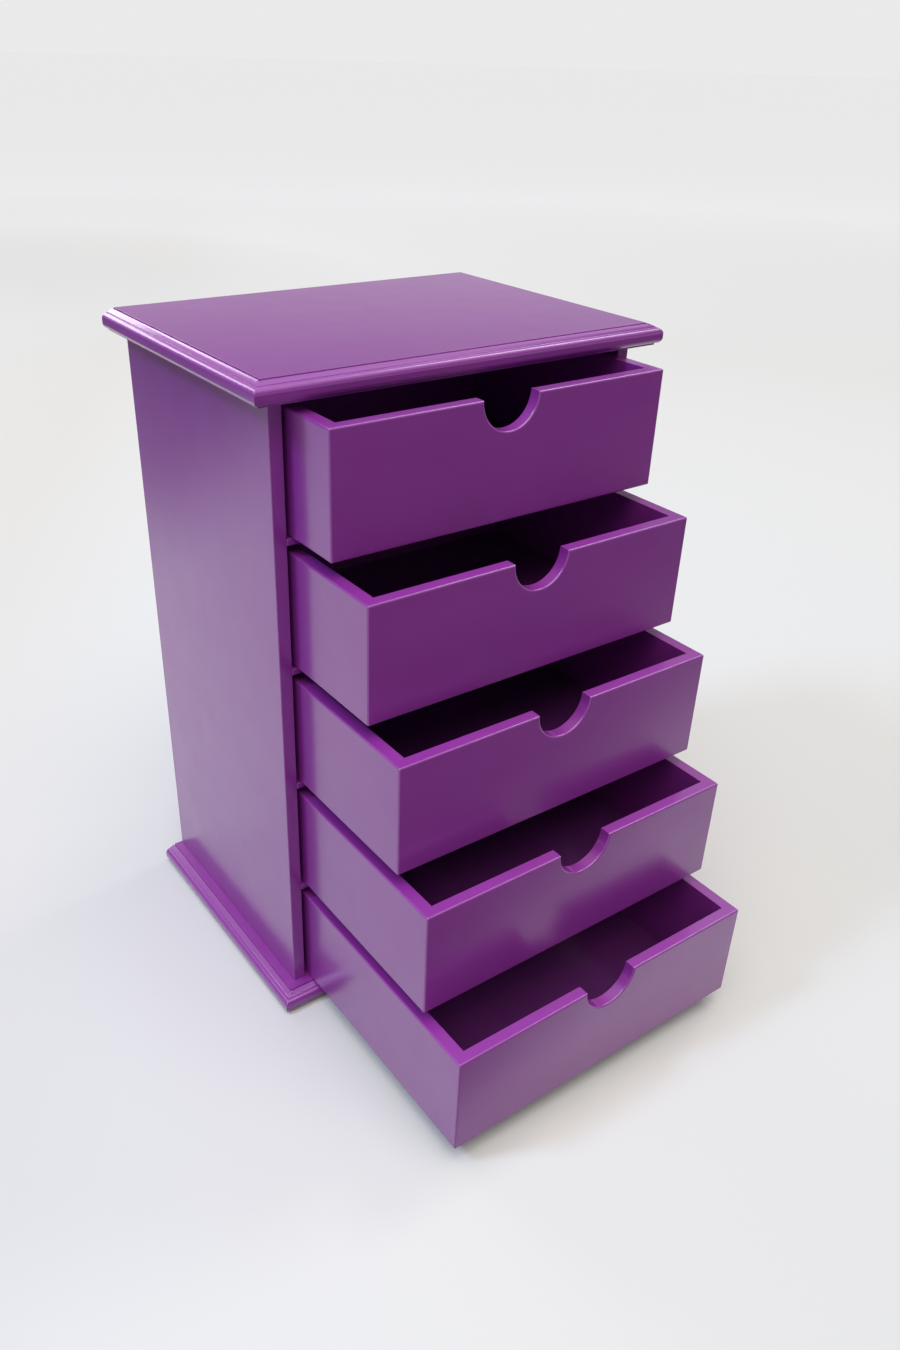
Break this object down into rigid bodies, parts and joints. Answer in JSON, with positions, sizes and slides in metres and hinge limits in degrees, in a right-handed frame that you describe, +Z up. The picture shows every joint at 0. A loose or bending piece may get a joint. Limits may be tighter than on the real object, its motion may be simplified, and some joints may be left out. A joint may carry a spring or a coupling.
{
  "type": "jewelry chest",
  "caption": "Tabletop jewelry chest with moulded top and base boards and stacked open-topped drawers, each with a half-round finger notch in its front.",
  "frame": {"origin": "middle of the base board's underside", "axes": "+Z up from the surface it stands on, drawers pull out towards -Y, +X to the right seen from behind the drawer fronts facing +Y"},
  "size_m": [0.2048, 0.2585, 0.3118],
  "materials": {
    "painted_board": "satin purple paint on smooth fibreboard"
  },
  "bodies": {
    "cabinet": {"base_board": "painted_board", "top_board": "painted_board", "left_side_panel": "painted_board", "right_side_panel": "painted_board", "back_panel": "painted_board", "shelf_1": "painted_board", "shelf_2": "painted_board", "shelf_3": "painted_board", "shelf_4": "painted_board"},
    "drawer_1": {"drawer_1_front": "painted_board", "drawer_1_left_side": "painted_board", "drawer_1_right_side": "painted_board", "drawer_1_back": "painted_board", "drawer_1_bottom": "painted_board"},
    "drawer_2": {"drawer_2_front": "painted_board", "drawer_2_left_side": "painted_board", "drawer_2_right_side": "painted_board", "drawer_2_back": "painted_board", "drawer_2_bottom": "painted_board"},
    "drawer_3": {"drawer_3_front": "painted_board", "drawer_3_left_side": "painted_board", "drawer_3_right_side": "painted_board", "drawer_3_back": "painted_board", "drawer_3_bottom": "painted_board"},
    "drawer_4": {"drawer_4_front": "painted_board", "drawer_4_left_side": "painted_board", "drawer_4_right_side": "painted_board", "drawer_4_back": "painted_board", "drawer_4_bottom": "painted_board"},
    "drawer_5": {"drawer_5_front": "painted_board", "drawer_5_left_side": "painted_board", "drawer_5_right_side": "painted_board", "drawer_5_back": "painted_board", "drawer_5_bottom": "painted_board"}
  },
  "joints": [
    {"name": "drawer_1_slide", "type": "slide", "parent": "cabinet", "child": "drawer_1", "axis": [0, -1, 0], "range_m": [-0.0305, 0.096]},
    {"name": "drawer_2_slide", "type": "slide", "parent": "cabinet", "child": "drawer_2", "axis": [0, -1, 0], "range_m": [-0.056, 0.0705]},
    {"name": "drawer_3_slide", "type": "slide", "parent": "cabinet", "child": "drawer_3", "axis": [0, -1, 0], "range_m": [-0.078, 0.0485]},
    {"name": "drawer_4_slide", "type": "slide", "parent": "cabinet", "child": "drawer_4", "axis": [0, -1, 0], "range_m": [-0.099, 0.0275]},
    {"name": "drawer_5_slide", "type": "slide", "parent": "cabinet", "child": "drawer_5", "axis": [0, -1, 0], "range_m": [-0.1245, 0.002]}
  ]
}
